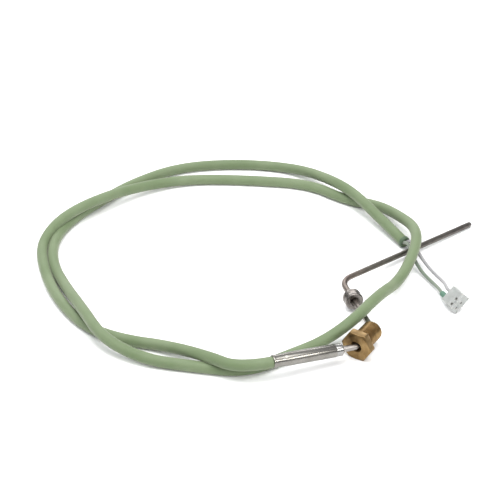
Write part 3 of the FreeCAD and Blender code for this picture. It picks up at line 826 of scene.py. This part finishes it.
def joined(base, tools, operation):
    """Boxes added to a base or cut from it, one after the other."""
    for tool in tools:
        step = base.modifiers.new(tool.name, "BOOLEAN")
        step.operation = operation
        step.solver = "EXACT"
        step.object = tool


def make_plug():
    """Two-way housing with a flange, side ribs, a ramp below and a window over each way."""
    width, length, thick = (value / MM for value in (PLUG_WIDTH, PLUG_LENGTH, PLUG_THICK))
    front, top, flank = length / 2, thick / 2, width / 2
    ways = [PLUG_WAYS[side] / MM for side in (-1, 1)]
    pitch, middle_way = ways[1] - ways[0], sum(ways) / 2
    lip, flange_length, cavity, groove = 0.5, 1.2, 2.7, 0.6
    ramp_size, rib_size = (pitch, 3.0, 1.0), (0.5, length - 3.4, 1.6)
    pin_mouth_size, window_size = (1.1, 3.0, 0.8), (1.3, 1.7, 3.0)
    flange_at, window_at, ramp_at, rib_at = front - flange_length / 2, front - 2.4, 2.4 - front, -1.2
    shell = box_mesh("plug_shell", (0, 0, 0), (width, length, thick))
    flange = box_mesh("plug_flange", (0, flange_at, 0), (width + 2 * lip, flange_length, thick + 2 * lip))
    ramp = box_mesh("plug_ramp", (0, ramp_at, -top - 0.4), ramp_size)
    ribs = [box_mesh(f"plug_rib_{side}", (side * (flank + 0.05), rib_at, 0), rib_size) for side in (-1, 1)]
    cuts = [box_mesh(f"way_groove_{side}", (middle_way, flange_at, side * (top + lip)),
                     (groove, flange_length + 0.2, groove)) for side in (1, -1)]
    for number, way in enumerate(ways):
        # a cavity stops short of the mating face, which has only the pin's mouth
        cuts.append(box_mesh(f"cavity_{number}", (way, -1, 0), (cavity, length + 0.4, cavity)))
        cuts.append(box_mesh(f"pin_mouth_{number}", (way, front, 0), pin_mouth_size))
        cuts.append(box_mesh(f"window_{number}", (way, window_at, top), window_size))
    joined(shell, [flange, ramp, *ribs], "UNION")
    joined(shell, cuts, "DIFFERENCE")
    softened = shell.modifiers.new("softened", "BEVEL")
    softened.width = 0.22 * MM
    softened.segments = 3
    softened.limit_method = "ANGLE"
    mesh = plain_mesh(shell, "plug_body")
    for scrap in [shell, flange, ramp, *ribs, *cuts]:
        bpy.data.objects.remove(scrap)
    mesh.transform(PLUG_PLACE)
    mesh.materials.clear()
    mesh.materials.append(nylon())
    shaded(mesh, 40)
    return finished(linked("plug_body", mesh), "probe", ["plug_housing"])


shrunk_sleeve = make_breakout_sleeve()
marker_collar = make_marker()
make_sheath()
make_transition_sleeve()
make_end_bush()
BRASS = brass()
make_gland_nut(BRASS)
make_thread(BRASS)
make_ferrules()
plug_body = make_plug()

# ---------------------------------------------------------------- pieces that stay as the frame has them
# For each node: its finish's name, dark and light tone, grain scale and roughness.
INNER_METALS = {
    "thermo_wire_positive": ("chrome_alloy_wire", (0.50, 0.48, 0.44), (0.66, 0.63, 0.58), 2500, (0.3, 0.45)),
    "thermo_wire_negative": ("nickel_alloy_wire", (0.46, 0.45, 0.42), (0.60, 0.58, 0.55), 2500, (0.3, 0.45)),
    "hot_junction": ("welded_bead", (0.30, 0.28, 0.26), (0.55, 0.52, 0.48), 1800, (0.35, 0.6)),
    "splice_sleeves": ("tinned_crimp", (0.62, 0.60, 0.55), (0.76, 0.74, 0.69), 1500, (0.3, 0.5)),
    "conductor_ends": ("bare_conductor", (0.56, 0.54, 0.50), (0.70, 0.67, 0.62), 2500, (0.3, 0.45)),
    "splice_tails": ("bare_tail_wire", (0.56, 0.54, 0.50), (0.70, 0.67, 0.62), 2500, (0.3, 0.45)),
    "contact_positive": ("tinned_contact", (0.60, 0.58, 0.54), (0.78, 0.76, 0.72), 1800, (0.25, 0.4)),
    "contact_negative": ("tinned_contact_pair", (0.60, 0.58, 0.54), (0.78, 0.76, 0.72), 1800, (0.25, 0.4)),
}
INNER_FILLINGS = {
    "mineral_insulation": ("packed_magnesia", (0.80, 0.78, 0.74), (0.93, 0.91, 0.88), 4000, (0.8, 0.95)),
    "potting_compound": ("cast_resin", (0.02, 0.018, 0.016), (0.05, 0.045, 0.04), 900, (0.25, 0.5)),
}
for inner_finishes, metallic in ((INNER_METALS, 1.0), (INNER_FILLINGS, 0.0)):
    for node_name, look in inner_finishes.items():
        mesh = frame["nodes"][node_name].data
        mesh.materials.clear()
        mesh.materials.append(plain_grain(*look, metallic))
